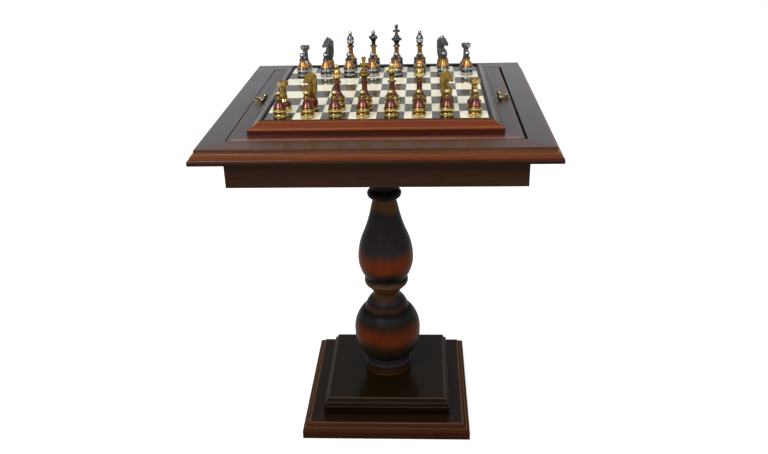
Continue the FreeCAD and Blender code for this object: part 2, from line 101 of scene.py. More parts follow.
# A toner is a list of (place, colour). On a square piece, one with a half width, the place is how
# far up and in along the profile, as rise from the foot plus inset. On others it is the height
# above the floor. A part, such as the level top, has its own values inside the piece's dictionary.
def shadedWood(name, piece, part=None):
    look = {**wood, **piece, **piece.get(part, {})}
    made, tree, end = startMaterial(name)
    place = addNode(tree, "ShaderNodeTexCoord").outputs["Object"]
    if "half" in look:
        foot = [v * mm for v in (*look["centre"], look["foot"])]
        place = addNode(tree, "ShaderNodeVectorMath", {0: place, 1: foot}, operation="SUBTRACT").outputs[0]
    x, y, z = addNode(tree, "ShaderNodeSeparateXYZ", {0: place}).outputs
    absX = addNode(tree, "ShaderNodeMath", {0: x}, operation="ABSOLUTE").outputs[0]
    absY = addNode(tree, "ShaderNodeMath", {0: y}, operation="ABSOLUTE").outputs[0]

    grainPlace = place
    if look["grain"] == "mitred":     # it runs along each side of a frame and meets at its mitres
        onSide = addNode(tree, "ShaderNodeMath", {0: absX, 1: absY}, operation="GREATER_THAN").outputs[0]
        along = addNode(tree, "ShaderNodeMix", {"Factor": onSide, "A": x, "B": y}).outputs[0]
        across = addNode(tree, "ShaderNodeMix", {"Factor": onSide, "A": y, "B": x}).outputs[0]
        shifted = addNode(tree, "ShaderNodeMath", {0: onSide, 1: look["mitreShift"], 2: z},
                          operation="MULTIPLY_ADD").outputs[0]
        grainPlace = addNode(tree, "ShaderNodeCombineXYZ", {0: along, 1: across, 2: shifted}).outputs[0]
    if look["grain"] == "upright":
        grainPlace = addNode(tree, "ShaderNodeCombineXYZ", {0: z, 1: x, 2: y}).outputs[0]
    patterns = {}
    for key in ("streak", "pore"):
        length, width = look[key + "Along"], look[key + "Across"]
        scaled = addNode(tree, "ShaderNodeVectorMath",
                         {0: grainPlace, 1: Vector((1 / length, 1 / width, 1 / width)) / mm},
                         operation="MULTIPLY").outputs[0]
        patterns[key] = addNode(tree, "ShaderNodeTexNoise", {
            "Vector": scaled, "Scale": 1.0, "Detail": look[key + "Detail"],
            "Roughness": look["grainRoughness"], "Distortion": look["grainWander"]}).outputs[0]
    cloud = addNode(tree, "ShaderNodeTexNoise", {"Vector": place, "Scale": 1 / (look["cloudSize"] * mm),
                                                 "Detail": look["cloudDetail"]}).outputs[0]

    level = z
    if "half" in look:
        reach = addNode(tree, "ShaderNodeMath", {0: absX, 1: absY}, operation="MAXIMUM").outputs[0]
        half = look["half"] * mm
        inset = addNode(tree, "ShaderNodeMath", {0: half, 1: reach}, operation="SUBTRACT").outputs[0]
        level = addNode(tree, "ShaderNodeMath", {0: z, 1: inset}).outputs[0]
    waver = look["waver"] * mm
    offset = addNode(tree, "ShaderNodeMapRange", {0: cloud, **noiseSpan, 3: -waver, 4: waver}).outputs[0]
    level = addNode(tree, "ShaderNodeMath", {0: level, 1: offset}).outputs[0]
    low, high = look["toner"][0][0], look["toner"][-1][0]
    share = addNode(tree, "ShaderNodeMapRange", {0: level, 1: low * mm, 2: high * mm}).outputs[0]
    toned = []
    for toner in [look["toner"]] + ([look["thinned"]] if look["thinned"] else []):
        stops = [((mark - low) / (high - low), linear(colour)) for mark, colour in toner]
        toned.append(addNode(tree, "ShaderNodeValToRGB", {0: share}, stops=stops).outputs[0])
    base = toned[0]
    # the front quarter takes the second toner, which paints in light and shade there
    if look["thinned"]:
        ahead = addNode(tree, "ShaderNodeMath", {0: y, 1: -1.0}, operation="MULTIPLY").outputs[0]
        frontLightMask = addNode(tree, "ShaderNodeMath", {0: ahead, 1: absX}, operation="GREATER_THAN").outputs[0]
        apart = addNode(tree, "ShaderNodeVectorMath", {0: toned[1], 1: base}, operation="SUBTRACT").outputs[0]
        apart = addNode(tree, "ShaderNodeVectorMath", {0: apart, 3: frontLightMask}, operation="SCALE").outputs[0]
        base = addNode(tree, "ShaderNodeVectorMath", {0: base, 1: apart}).outputs[0]

    tint = addNode(tree, "ShaderNodeMapRange", {0: patterns["streak"], **noiseSpan, 3: 1 - look["figure"],
                                                4: 1 + look["figure"]}).outputs[0]
    fleck = addNode(tree, "ShaderNodeMapRange", {0: patterns["pore"], 1: look["poreSpan"][0],
                                                 2: look["poreSpan"][1], 3: look["poreShade"]}).outputs[0]
    shade = addNode(tree, "ShaderNodeMath", {0: tint, 1: fleck}, operation="MULTIPLY").outputs[0]
    if look["grain"] == "mitred":
        apart = addNode(tree, "ShaderNodeMath", {0: absX, 1: absY}, operation="SUBTRACT").outputs[0]
        apart = addNode(tree, "ShaderNodeMath", {0: apart}, operation="ABSOLUTE").outputs[0]
        line = addNode(tree, "ShaderNodeMapRange", {0: apart, 2: look["mitreLine"] * mm,
                                                    3: look["mitreShade"]}).outputs[0]
        shade = addNode(tree, "ShaderNodeMath", {0: shade, 1: line}, operation="MULTIPLY").outputs[0]
    colour = addNode(tree, "ShaderNodeVectorMath", {0: base, 3: shade}, operation="SCALE").outputs[0]
    sheen = addNode(tree, "ShaderNodeMapRange", {0: cloud, **noiseSpan, 3: look["roughness"] - look["shinier"],
                                                 4: look["roughness"] + look["duller"]}).outputs[0]
    relief = addNode(tree, "ShaderNodeBump", {
        "Strength": look["poreRelief"], "Distance": look["poreDepth"] * mm,
        "Height": patterns["pore"]}).outputs[0]
    shader = addNode(tree, "ShaderNodeBsdfPrincipled", {
        "Base Color": colour, "Roughness": sheen, "Normal": relief, "Specular IOR Level": look["specular"],
        "Coat Weight": look["coat"], "Coat Roughness": look["coatRoughness"]})
    tree.links.new(shader.outputs[0], end.inputs[0])
    return made


def evenToner(colour):  # the same colour from the floor to past the men's heads
    return [(0, colour), (1000, colour)]


lidCentre = (-1.5, -1.0)

topRail = {
    "grain": "mitred", "centre": (0, 0), "half": 315.5, "foot": 682.5, "specular": 0.05, "roughness": 0.2,
    # the lighter stops of this toner are painted highlights along the moulding's arrises
    "toner": [
        (0, "#140b07"), (4.4, "#1c100a"), (5.0, "#3c1e12"), (7.6, "#2e150a"), (9.6, "#44200f"),
        (14.0, "#4a2310"), (14.8, "#8e5836"), (15.8, "#8e5836"), (16.6, "#5e2c15"), (19.2, "#5c2c17"),
        (20.0, "#7c4c2c"), (22.0, "#54301b"), (31.5, "#4c2f1e"), (32.3, "#563320"), (33.5, "#3c2417"),
        (36.5, "#40281b"), (38.6, "#40261b"), (42.0, "#2c1b13"), (60.0, "#241710")],
    "level": {"specular": 0.5, "roughness": 0.35, "coat": 0.55},
    # the front rail's top, in a redder toner: a painted sheen for the front light its grain catches
    "levelFront": {"specular": 0.4, "roughness": 0.35, "coat": 0.2,
                   "thinned": [(31.5, "#3b200d"), (60.0, "#3b200d")]},
}
woodTop = shadedWood("WalnutLacquerTop", topRail)
woodTopFlat = shadedWood("WalnutLacquerTopPolished", topRail, "level")
woodFrontSheenFlat = shadedWood("WalnutLacquerTopFrontPolished", topRail, "levelFront")

lidPanel = {
    "grain": "along", "centre": lidCentre, "half": 258.0, "foot": 690.0,
    # the lighter stops from 16.8 to 18.6 are a painted highlight along the lid's arris
    "toner": [
        (0, "#160e0b"), (16.2, "#1c120d"), (16.8, "#33211a"), (18.6, "#38251b"), (20.0, "#341f17"),
        (34.0, "#251711"), (60.0, "#1c130f")],
    "level": {"specular": 0.45, "roughness": 0.35, "coat": 0.4,
              # front quarter, over a redder toner: dark along the edge's gap (painted shade), a pale band just
              # in (painted highlight on the arris), darker towards the board rail (painted shadow of the rail)
              "thinned": [(18.1, "#1c120d"), (19.0, "#43190c"), (21.0, "#6c3e2c"), (26.0, "#744635"),
                          (29.0, "#54291a"), (36.0, "#43190c"), (42.0, "#35130a"), (47.0, "#230c05")]},
}
woodLid = shadedWood("WalnutLacquerLid", lidPanel)
woodLidFlat = shadedWood("WalnutLacquerLidPolished", lidPanel, "level")

boardRail = {
    "grain": "mitred", "centre": lidCentre, "half": 226.5, "foot": 708.0, "specular": 0.06, "roughness": 0.2,
    # dark at the foot, under the bead, partly painted shade; the pale stops at 14 and 37.6 are painted
    # highlights on the bead and the lip's edge
    "toner": [
        (0, "#2e130a"), (6.8, "#3a180c"), (8.0, "#64301a"), (12.5, "#6c3a1e"), (14.0, "#7e4a2c"),
        (15.2, "#5e2a15"), (30.0, "#582612"), (36.0, "#66341c"), (37.6, "#704428"), (39.0, "#502b1a"),
        (41.0, "#20130d"), (44.0, "#140c09")],
    "atSides": {     # the rails at the left and right, in a darker toner: painted shade, as they catch less light than the front one
        "specular": 0.1, "roughness": 0.25,
        "toner": [
            (0, "#1c0f0a"), (6.8, "#1e110b"), (8.0, "#281810"), (14.0, "#2c1b13"), (15.2, "#241510"),
            (36.0, "#241510"), (37.6, "#3a241a"), (39.0, "#20130d"), (44.0, "#140c09")]},
}
woodRail = shadedWood("WalnutLacquerBoardRail", boardRail)
woodSideRailShaded = shadedWood("WalnutLacquerSideRail", boardRail, "atSides")

# Near black where the board's edge shows between squares and rails: painted shade of that gap.
boardGapShade = {"grain": "along", "toner": evenToner("#0c0807")}
woodPanel = shadedWood("WalnutLacquerBoardEdge", boardGapShade)
apron = {"grain": "mitred", "toner": evenToner("#2e1a10"), "specular": 0.04, "roughness": 0.3}
woodApron = shadedWood("WalnutLacquerApron", apron)

# The plinths' toners: their lighter stops along the arrises are painted highlights.
lowerPlinth = {
    "grain": "along", "centre": (0, 0), "half": 181.0, "foot": 2.0, "specular": 0.02, "roughness": 0.42,
    "toner": [
        (0, "#281206"), (16.8, "#2a1307"), (17.6, "#3e2314"), (19.0, "#30190b"), (28.0, "#331b0d"),
        (29.3, "#5f3f26"), (30.6, "#5f3f26"), (32.0, "#30190b"), (43.0, "#341d0f"), (45.0, "#54392a"),
        (48.0, "#4a3222"), (49.4, "#1e1309"), (70.0, "#1e1309")],
    "level": {"specular": 0.12, "roughness": 0.2},
}
woodLowerPlinth = shadedWood("WalnutLacquerLowerPlinth", lowerPlinth)
woodLowerPlinthFlat = shadedWood("WalnutLacquerLowerPlinthPolished", lowerPlinth, "level")

upperPlinth = {
    "grain": "along", "centre": (0, 0), "half": 137.5, "foot": 34.0, "specular": 0.02, "roughness": 0.42,
    "toner": [
        (0, "#0e0704"), (18.4, "#100805"), (19.2, "#3e3126"), (21.0, "#150e08"), (30.0, "#160e08"),
        (31.4, "#433529"), (33.0, "#150e08"), (43.6, "#1a110b"), (45.6, "#3e3226"), (48.6, "#352a20"),
        (49.8, "#171006"), (70.0, "#171006")],
    "level": {"specular": 0.12, "roughness": 0.2},
}
woodUpperPlinth = shadedWood("WalnutLacquerUpperPlinth", upperPlinth)
woodUpperPlinthFlat = shadedWood("WalnutLacquerUpperPlinthPolished", upperPlinth, "level")

# The burst on the column, dark over and under each orange band. The fillet stops are painted
# highlights, the stop at 218 on the ball's shoulder a painted reflection of the pale sky, and the
# coal from 311 to 324, over the bead, and from 500 up, under the collar, is partly painted shade.
burst = {
    "soot": "#211d1e", "cold": "#1b1c1c", "coal": "#14100f", "umber": "#1f140a", "ember": "#50210a",
    "glow": "#471c07", "bark": "#34220f", "shade": "#281506", "russet": "#2c1a15", "fillet": "#4a2f1c",
    "flare": "#3c291d", "neck": "#442e17",
}
turning = {"grain": "upright", "specular": 0.025, "roughness": 0.36, "figure": 0.12, "waver": 6.0}
ballTurning = {**turning, "toner": [(mark, burst[tone]) for mark, tone in (
    (72, "shade"), (84, "umber"), (92, "soot"), (106, "soot"), (112, "coal"), (130, "coal"), (152, "umber"),
    (162, "shade"), (172, "glow"), (190, "glow"), (210, "umber"), (218, "cold"), (228, "coal"), (233, "coal"),
    (236, "russet"), (243, "russet"), (248, "coal"), (254, "soot"), (260, "soot"), (266, "bark"))]}
vaseTurning = {**turning, "toner": [(mark, burst[tone]) for mark, tone in (
    (266, "bark"), (274, "bark"), (282, "shade"), (286, "bark"), (289, "fillet"), (293, "shade"),
    (299, "fillet"), (304, "flare"), (311, "coal"), (324, "coal"), (331, "shade"), (343, "ember"),
    (364, "ember"), (386, "soot"), (462, "soot"), (478, "neck"), (494, "neck"), (500, "coal"), (608, "coal"))]}
woodLowerColumn = shadedWood("WalnutLacquerBall", ballTurning)
woodUpperColumn = shadedWood("WalnutLacquerVase", vaseTurning)

# Sawn pine, sanded but not finished: pale, dry and matt, out of sight when closed.
barePine = {"grain": "along", "toner": evenToner("#b08a5c"), "roughness": 0.6, "specular": 0.35, "figure": 0.15}
plainWood = shadedWood("SandedPine", barePine)
# Plywood with a thin brown stain wiped on, the box's floor: duller than lacquer, its figure strong.
floorPly = {"grain": "along", "toner": evenToner("#5a3822"), "roughness": 0.5, "specular": 0.4, "figure": 0.25}
stainedPly = shadedWood("StainedPlywood", floorPly)


# Sycamore and grey-dyed maple veneer under polished lacquer: flat, even colour with a mirror-like
# gloss that shows the men standing on it. Each square has its own tone, as veneer has.
veneer = {
    "square": 50.0,
    "grainAlong": 125.0,
    "grainAcross": 1 / 0.35,  # drawn coarse, at 0.35 lines to a millimetre
    "grainDetail": 3.0,
    "palest": 0.5,            # the share of its contrast that the grain has on its paler side
    "roughness": 0.12, "coat": 0.4, "coatRoughness": 0.04,
}


def veneerSquare(name, colour, contrast):
    made, tree, end = startMaterial(name)
    place = addNode(tree, "ShaderNodeTexCoord").outputs["Object"]
    perSquare = 1 / (veneer["square"] * mm)
    shift = [-v / veneer["square"] for v in lidCentre] + [0]
    cell = addNode(tree, "ShaderNodeVectorMath", {0: place, 1: (perSquare, perSquare, 0)},
                   operation="MULTIPLY").outputs[0]
    cell = addNode(tree, "ShaderNodeVectorMath", {0: cell, 1: shift}, operation="ADD").outputs[0]
    cell = addNode(tree, "ShaderNodeVectorMath", {0: cell}, operation="FLOOR").outputs[0]
    each = addNode(tree, "ShaderNodeTexWhiteNoise", {"Vector": cell}, noise_dimensions="3D").outputs[0]
    tone = addNode(tree, "ShaderNodeMapRange", {0: each, 3: 1 - contrast, 4: 1 + contrast}).outputs[0]
    along, across = 1 / (veneer["grainAlong"] * mm), 1 / (veneer["grainAcross"] * mm)
    grain = addNode(tree, "ShaderNodeVectorMath", {0: place, 1: (along, across, across)},
                    operation="MULTIPLY").outputs[0]
    grain = addNode(tree, "ShaderNodeTexNoise", {"Vector": grain, "Scale": 1.0,
                                                 "Detail": veneer["grainDetail"]}).outputs[0]
    grain = addNode(tree, "ShaderNodeMapRange", {0: grain, **noiseSpan, 3: 1 - contrast,
                                                 4: 1 + contrast * veneer["palest"]}).outputs[0]
    tone = addNode(tree, "ShaderNodeMath", {0: tone, 1: grain}, operation="MULTIPLY").outputs[0]
    shaded = addNode(tree, "ShaderNodeVectorMath", {0: linear(colour)[:3], 3: tone},
                     operation="SCALE").outputs[0]
    shader = addNode(tree, "ShaderNodeBsdfPrincipled", {
        "Base Color": shaded, "Roughness": veneer["roughness"], "Coat Weight": veneer["coat"],
        "Coat Roughness": veneer["coatRoughness"]})
    tree.links.new(shader.outputs[0], end.inputs[0])
    return made


lightVeneer = veneerSquare("SycamoreVeneerGloss", "#e4dcc3", 0.02)
darkVeneer = veneerSquare("GreyDyedVeneerGloss", "#453f2d", 0.06)


# Cast and plated metal with an antique wash in its hollows, tumbled bright. Over that, light is
# painted in: each swell is made paler, the painted highlight band that light lays on a turned ring,
# and plain turning and hollow arcs are darker, partly painted shade.
plating = {
    "patch": 9.0, "patchDetail": 3.0, "patchShare": 0.5,     # how the wash lies, by chance
    "bareness": {"washed": 0.1, "plain": 0.5, "bright": 0.95},
    "duller": 0.06, "coat": 0.0, "coatRoughness": 0.12,
}


def platedMetal(name, **changes):
    look = {**plating, **changes}
    made, tree, end = startMaterial(name)
    place = addNode(tree, "ShaderNodeTexCoord").outputs["Object"]
    wash = addNode(tree, "ShaderNodeTexNoise", {"Vector": place, "Scale": 1 / (look["patch"] * mm),
                                                "Detail": look["patchDetail"]}).outputs[0]
    rubbed = addNode(tree, "ShaderNodeAttribute", attribute_name="rubbed").outputs["Fac"]
    rubbed = addNode(tree, "ShaderNodeMath", {0: wash, 1: look["patchShare"], 2: rubbed},
                     operation="MULTIPLY_ADD").outputs[0]
    colour = addNode(tree, "ShaderNodeValToRGB", {0: rubbed}, stops=[
        (mark, linear(look[key])) for key, mark in look["bareness"].items()]).outputs[0]
    worn = addNode(tree, "ShaderNodeMapRange", {0: wash, **noiseSpan, 3: look["roughness"] + look["duller"],
                                                4: look["roughness"]}).outputs[0]
    shader = addNode(tree, "ShaderNodeBsdfPrincipled", {
        "Base Color": colour, "Metallic": 1.0, "Roughness": worn, "Coat Weight": look["coat"],
        "Coat Roughness": look["coatRoughness"]})
    tree.links.new(shader.outputs[0], end.inputs[0])
    return made


# each metal's pale tone is its painted highlight, its dark one wash and painted shade
goldPlate = platedMetal(
    "AntiqueGoldPlate", bright="#f0da98", plain="#8e7438", washed="#45270f", roughness=0.24)
pewterPlate = platedMetal(
    "AntiquePewterPlate", bright="#d6d6d3", plain="#5b5d5d", washed="#0e0d0c", roughness=0.22)
pullBrass = platedMetal(
    "LacqueredBrass", bright="#e8d8a6", plain="#ae9c62", washed="#5e4e26", roughness=0.2, patch=14.0, coat=0.8)
zincSteel = platedMetal(
    "ZincPlatedSteel", bright="#b8babc", plain="#a8aaac", washed="#8a8c90", roughness=0.35, patch=12.0)


# Translucent enamel poured over the plating: the metal glows through it, so it has deep edges and
# a soft coloured shine.
enamel = {
    "pool": 7.0, "poolDetail": 2.0, "pooledTo": 0.35, "clearFrom": 0.6,
    "metallic": 0.5, "roughness": 0.28, "coat": 0.1, "coatRoughness": 0.1,
}


def pouredEnamel(name, clear, pooled):
    made, tree, end = startMaterial(name)
    place = addNode(tree, "ShaderNodeTexCoord").outputs["Object"]
    pool = addNode(tree, "ShaderNodeTexNoise", {"Vector": place, "Scale": 1 / (enamel["pool"] * mm),
                                                "Detail": enamel["poolDetail"]}).outputs[0]
    shaded = addNode(tree, "ShaderNodeValToRGB", {0: pool}, stops=[
        (enamel["pooledTo"], linear(pooled)), (enamel["clearFrom"], linear(clear))]).outputs[0]
    shader = addNode(tree, "ShaderNodeBsdfPrincipled", {
        "Base Color": shaded, "Metallic": enamel["metallic"], "Roughness": enamel["roughness"],
        "Coat Weight": enamel["coat"], "Coat Roughness": enamel["coatRoughness"]})
    tree.links.new(shader.outputs[0], end.inputs[0])
    return made


redEnamel = pouredEnamel("OxbloodEnamel", clear="#622814", pooled="#3c150a")
amberEnamel = pouredEnamel("AmberEnamel", clear="#a47228", pooled="#6e3e14")


# Pressed wool felt under the foot: matt and fibrous.
felt = {
    "fibre": 1.2, "fibreDetail": 4.0, "between": (0.3, "#0c0b0a"), "fibres": (0.7, "#221f1c"),
    "relief": 0.4, "depth": 0.3, "roughness": 0.95, "specular": 0.1,
}


def pressedFelt():
    made, tree, end = startMaterial("PressedFelt")
    place = addNode(tree, "ShaderNodeTexCoord").outputs["Object"]
    fibre = addNode(tree, "ShaderNodeTexNoise", {"Vector": place, "Scale": 1 / (felt["fibre"] * mm),
                                                 "Detail": felt["fibreDetail"]}).outputs[0]
    shaded = addNode(tree, "ShaderNodeValToRGB", {0: fibre}, stops=[
        (mark, linear(colour)) for mark, colour in (felt["between"], felt["fibres"])]).outputs[0]
    relief = addNode(tree, "ShaderNodeBump", {"Strength": felt["relief"], "Distance": felt["depth"] * mm,
                                              "Height": fibre}).outputs[0]
    shader = addNode(tree, "ShaderNodeBsdfPrincipled", {
        "Base Color": shaded, "Roughness": felt["roughness"], "Specular IOR Level": felt["specular"],
        "Normal": relief})
    tree.links.new(shader.outputs[0], end.inputs[0])
    return made


feltBlack = pressedFelt()
print("materials made")


# The table's own pieces are merged copies of the solids, with eased arrises.
arris = {
    "merge": 0.001,           # corners nearer than this are one
    "flat": 0.3,              # degrees between two faces: up to here they become one
    "sharp": 28,              # and from here their edge is sharp in the shading
    "rounded": 40,            # and from here it is rounded off
    "steps": 2,
    "level": 0.99,            # a level top's normal is at least this upright
}


# flat: what the level, polished tops get instead, where the same toner lies under a brighter gloss.
def dressed(name, source, body, material, ease=0.5, flat=None):
    work = bmesh.new()
    work.from_mesh(nodes[source].data)
    bmesh.ops.remove_doubles(work, verts=work.verts, dist=arris["merge"] * mm)
    bmesh.ops.dissolve_limit(work, angle_limit=math.radians(arris["flat"]), verts=work.verts, edges=work.edges)
    mesh = bpy.data.meshes.new(name)
    work.to_mesh(mesh)
    work.free()
    for face in mesh.polygons:
        face.use_smooth = True
    mesh.set_sharp_from_angle(angle=math.radians(arris["sharp"]))
    mesh.materials.append(material)
    if flat:
        mesh.materials.append(flat)
    tops = set()
    for face in mesh.polygons:
        isTop = face.normal.z > arris["level"]
        face.material_index = 1 if flat and isTop else 0
        tops.update(face.edge_keys if isTop else ())
    for edge in mesh.edges:       # shading stays flat right up to a level top's edge
        if edge.key in tops:
            edge.use_edge_sharp = True
    piece = bpy.data.objects.new(name, mesh)
    bpy.context.scene.collection.objects.link(piece)
    if ease:
        rounding = piece.modifiers.new("EasedArris", "BEVEL")
        rounding.width = ease * mm
        rounding.segments = arris["steps"]
        rounding.limit_method = "ANGLE"
        rounding.angle_limit = math.radians(arris["rounded"])
        rounding.harden_normals = True
    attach(piece, body)
    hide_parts(source)
    return piece


for side in ("Front", "Right", "Back", "Left"):
    dressed("topRail" + side, "top_rail_" + side.lower(), "table", woodTop, ease=0,
            flat=woodFrontSheenFlat if side == "Front" else woodTopFlat)
    dressed("apron" + side, "apron_" + side.lower(), "table", woodApron, ease=0)
dressed("lowerPlinth", "lower_plinth", "table", woodLowerPlinth, ease=0.7, flat=woodLowerPlinthFlat)
dressed("upperPlinth", "upper_plinth", "table", woodUpperPlinth, flat=woodUpperPlinthFlat)
dressed("columnBall", "column_lower", "table", woodLowerColumn, ease=0.4)
dressed("columnVase", "column_upper", "table", woodUpperColumn, ease=0.4)
dressed("lidPanel", "lid_panel", "lid", woodLid, ease=0, flat=woodLidFlat)
dressed("boardPanel", "board_panel", "lid", woodPanel, ease=0.2)
boardRails = dressed("boardRails", "board_rails", "lid", woodRail, ease=0).data
boardRails.materials.append(woodSideRailShaded)
for face in boardRails.polygons:
    besideX, besideY = (abs(face.center[k] - lidCentre[k] * mm) for k in (0, 1))
    face.material_index = 1 if besideX > besideY else 0
dressed("pullPlates", "pull_plates", "lid", pullBrass, ease=0.25)
dressed("pullLeft", "left_pull", "left_pull", pullBrass, ease=0.15)
dressed("pullRight", "right_pull", "right_pull", pullBrass, ease=0.15)

plainNodes = {
    "base_felt": feltBlack, "mounting_board": plainWood, "box_floor": stainedPly, "corner_blocks": plainWood,
    "tie_rod": zincSteel, "tie_rod_nuts": zincSteel, "mounting_screws": zincSteel,
    "light_squares": lightVeneer, "dark_squares": darkVeneer,
}
for name, material in plainNodes.items():
    nodes[name].data.materials.clear()
    nodes[name].data.materials.append(material)
print("table dressed")

# A man's outline is a list of (radius, height) from foot to top; a third value swells that stretch
# into an arc by so much. What lies between an enamel pair of heights is enamelled. The officers
# share a base ring, and the three tall ones a stem.
men = {
    "segments": 44, "arcSteps": 9,
    "sharp": 35,              # degrees, from where an edge is sharp in the shading
    # how bare the plating is on plain turning and on flat-sided parts, and the painted highlight that swells
    # and balls add
    "level": 0.1, "slab": {"gold": 0.15, "silver": 0.26}, "swell": 0.65, "ball": 0.35,
    "fullSwell": 0.7,         # an arc that rises so far gets the full painted highlight
    "ballFrom": 2.6,          # one that rises so far is a ball
    "fade": 3,                # how soon the painted highlight fades towards an arc's ends
    "paler": {"gold_rook": 0.36, "silver_rook": 0.38, "gold_queen": 0.3},     # men made paler all over, a painted highlight
    "pawn": {
        "enamel": [(18.9, 33.7)],
        "outline": [
            (0, 0), (11.6, 0), (12, 0.4), (12, 7.8, 0.7), (11, 8.8), (11, 9.4), (11.8, 10.2), (11.8, 17, 0.7),
            (10.8, 18.6), (10.8, 19.2), (11.4, 20.3, 0.2), (5.3, 33.5, -0.7), (5.4, 33.9), (6.8, 34.8, 0.3),
            (6.8, 36, 0.3), (4.4, 38.2, -0.3), (3.2, 39.4), (3.2, 40.25), (0, 50, 3.71)]},
    "ring": [(0, 0), (12.8, 0), (13.2, 0.4), (13.2, 7.2, 0.8), (12, 8.2), (12, 8.8)],
    "stem": [
        (13, 9.6), (13.1, 17, 0.8), (12.2, 18.2), (12.2, 19.2), (13.1, 20.4), (12.9, 24.8, 0.5), (11.8, 26),
        (11, 26.6), (8.6, 30.6, -0.7), (5.4, 36.1, -0.5), (5, 49.2, -0.2), (7.5, 50.7, 0.2), (7.9, 51.6, 0.1),
        (7.6, 52.8, 0.2), (5, 54.2)],
    "stemEnamel": [(26.6, 53)],
    "rook": {
        "enamel": [(8.6, 19)],
        "outline": [
            (13, 9.8), (12.2, 14.9, 0.5), (9, 18.6, -0.5), (8.4, 19.4), (8.7, 20.1, 0.2), (7.6, 21.2),
            (6.2, 30.1, -0.3), (5.7, 43.6, -0.2), (6.8, 45.2, -0.2), (9.8, 47, -0.3), (10.4, 47.8),
            (10.4, 51.6), (10.1, 52), (0, 52)]},
    "knight": {
        "enamel": [(8.6, 23.8)],
        "outline": [(13, 9.8), (12.8, 15, 0.4), (10.6, 23.6, 0.6), (9.4, 24.8), (0, 25)]},
    "bishop": {
        "outline": [(4.8, 55), (5, 55.7), (6.8, 70.9, 2.5), (3, 76.2, 0.4), (2.8, 76.67), (0, 84, 2.7)]},
    "queen": {
        "outline": [
            (4.6, 55.4), (4.4, 61.4, -0.2), (9.6, 69.2, -0.8), (10.2, 70.5), (10.2, 71.4), (9.4, 72.2),
            (5.4, 75.4, 0.4), (3.6, 76.6), (3.2, 77.84), (0, 85.5, 2.77)]},
    "king": {
        "outline": [
            (4.8, 56.8, -0.2), (6, 60.4), (10.8, 64.4, -0.5), (11.2, 65.2), (11.2, 67, 0.2), (10, 68.2),
            (6.8, 69.9), (6.4, 72.5, 0.3), (3.8, 75.6, -0.4), (3.6, 79.6), (0, 80)]},
    "cross": [     # its post, head and arms, each a box from corner to corner
        ((-2.6, -2.5, 79), (2.6, 2.5, 96)), ((-3.8, -2.6, 89.4), (3.8, 2.6, 97)),
        ((-7.5, -2.3, 81), (7.5, 2.3, 86))],
    "crossEase": 0.8, "crossSteps": 2,
}


# Each point is its place, and how bare the plating is there, with the painted highlight of a swell and the
# painted shade of a hollow arc.
def curvePoints(outline, plain):
    points = [(Vector(outline[0][:2]), plain)]
    for stretch in outline[1:]:
        start, end = points[-1][0], Vector(stretch[:2])
        if len(stretch) == 3:
            side, swell = math.copysign(1, stretch[2]), abs(stretch[2])
            chord = end - start
            right = Vector((chord.y, -chord.x)).normalized()
            radius = (chord.length_squared / 4 + swell ** 2) / (2 * swell)
            half = math.atan2(chord.length / 2, radius - swell)
            centre = (start + end) / 2 - right * (radius - swell) * side
            # a swell gets a painted highlight, a hollow arc painted shade, fading towards the ends
            rubAndHighlight = side * men["swell"] * min(1, swell / men["fullSwell"])
            if swell > men["ballFrom"]:
                rubAndHighlight = men["ball"]
            for step in range(1, men["arcSteps"]):
                turn = half * (2 * step / men["arcSteps"] - 1)
                toArc = right * math.cos(turn) * side + chord.normalized() * math.sin(turn)
                added = rubAndHighlight * math.sin(math.pi * step / men["arcSteps"]) ** men["fade"]
                points.append((centre + toArc * radius, plain + added))
        points.append((end, plain))
    return points


def latheInto(work, outline, enamelled, plain):
    points = curvePoints(outline, plain)
    rubbed = work.verts.layers.float.new("rubbed")
    rings = []
    for point, rubAndHighlight in points:
        ring = []
        for k in range(men["segments"] if point.x > arris["merge"] else 1):     # one corner on the axis
            turn = 2 * math.pi * k / men["segments"]
            ring.append(work.verts.new((point.x * mm * math.cos(turn), point.x * mm * math.sin(turn),
                                        point.y * mm)))
            ring[-1][rubbed] = rubAndHighlight
        rings.append(ring)
    for (low, _), (high, _), first, second in zip(points, points[1:], rings, rings[1:]):
        middle = (low.y + high.y) / 2
        finish = 1 if any(bottom < middle < top for bottom, top in enamelled) else 0
        for k in range(men["segments"]):
            n = (k + 1) % men["segments"]
            if len(first) == 1:
                corners = [first[0], second[n], second[k]]
            elif len(second) == 1:
                corners = [first[k], first[n], second[0]]
            else:
                corners = [first[k], first[n], second[n], second[k]]
            face = work.faces.new(corners)
            face.material_index = finish
            face.smooth = True


def boxInto(work, low, high):
    centre = [(a + b) / 2 * mm for a, b in zip(low, high)]
    size = [(b - a) * mm for a, b in zip(low, high)]
    stretched = Matrix.Translation(centre) @ Matrix.Diagonal(size + [1])
    made = bmesh.ops.create_cube(work, size=1, matrix=stretched)
    edges = list({edge for vert in made["verts"] for edge in vert.link_edges})
    bmesh.ops.bevel(work, geom=edges, offset=men["crossEase"] * mm, segments=men["crossSteps"], affect="EDGES",
                    profile=0.5)


# A ring of curved blocks or points round a crown, by Geometry Nodes: a rook's battlements and a
# queen's points. Sweep is each block's share of its part of the circle.
crownRings = {
    "rook": {
        "Count": 6, "Radius": 8.8, "Height": 51.9, "Sweep": 0.83, "Depth": 3.2, "Rise": 2.7, "Taper": 1.0},
    "queen": {
        "Count": 9, "Radius": 8.9, "Height": 71.2, "Sweep": 0.62, "Depth": 2.4, "Rise": 2.8, "Taper": 0.35},
}
crownArcPoints = 7


